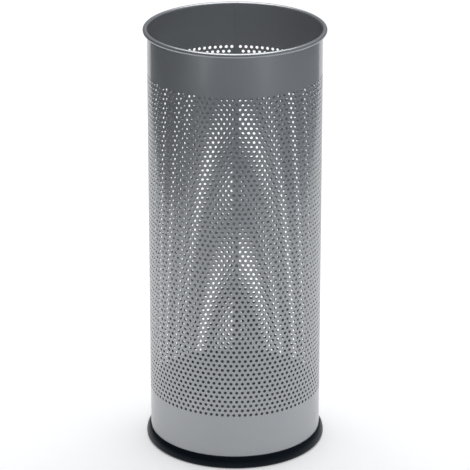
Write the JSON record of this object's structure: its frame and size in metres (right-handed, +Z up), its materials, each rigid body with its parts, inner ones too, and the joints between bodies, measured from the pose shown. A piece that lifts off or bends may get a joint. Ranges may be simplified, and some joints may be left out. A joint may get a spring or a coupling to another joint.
{
  "type": "perforated waste bin",
  "caption": "Tall round open-topped bin of perforated sheet steel with a curled rim and a flared plastic base ring; it also serves as an umbrella stand.",
  "frame": {"origin": "centre of the underside, on the floor", "axes": "+Z up along the tube's axis, +Y towards the lapped seam at the back, +X to the right seen from the front"},
  "size_m": [0.2544, 0.2544, 0.61],
  "materials": {
    "wall_paint": "silver-grey metallic enamel, semi-gloss",
    "pan_paint": "silver-grey metallic enamel, semi-gloss",
    "ring_plastic": "satin black moulded plastic"
  },
  "bodies": {
    "root": {"perforated_wall": "wall_paint", "bottom_pan": "pan_paint", "base_ring": "ring_plastic"}
  },
  "joints": []
}
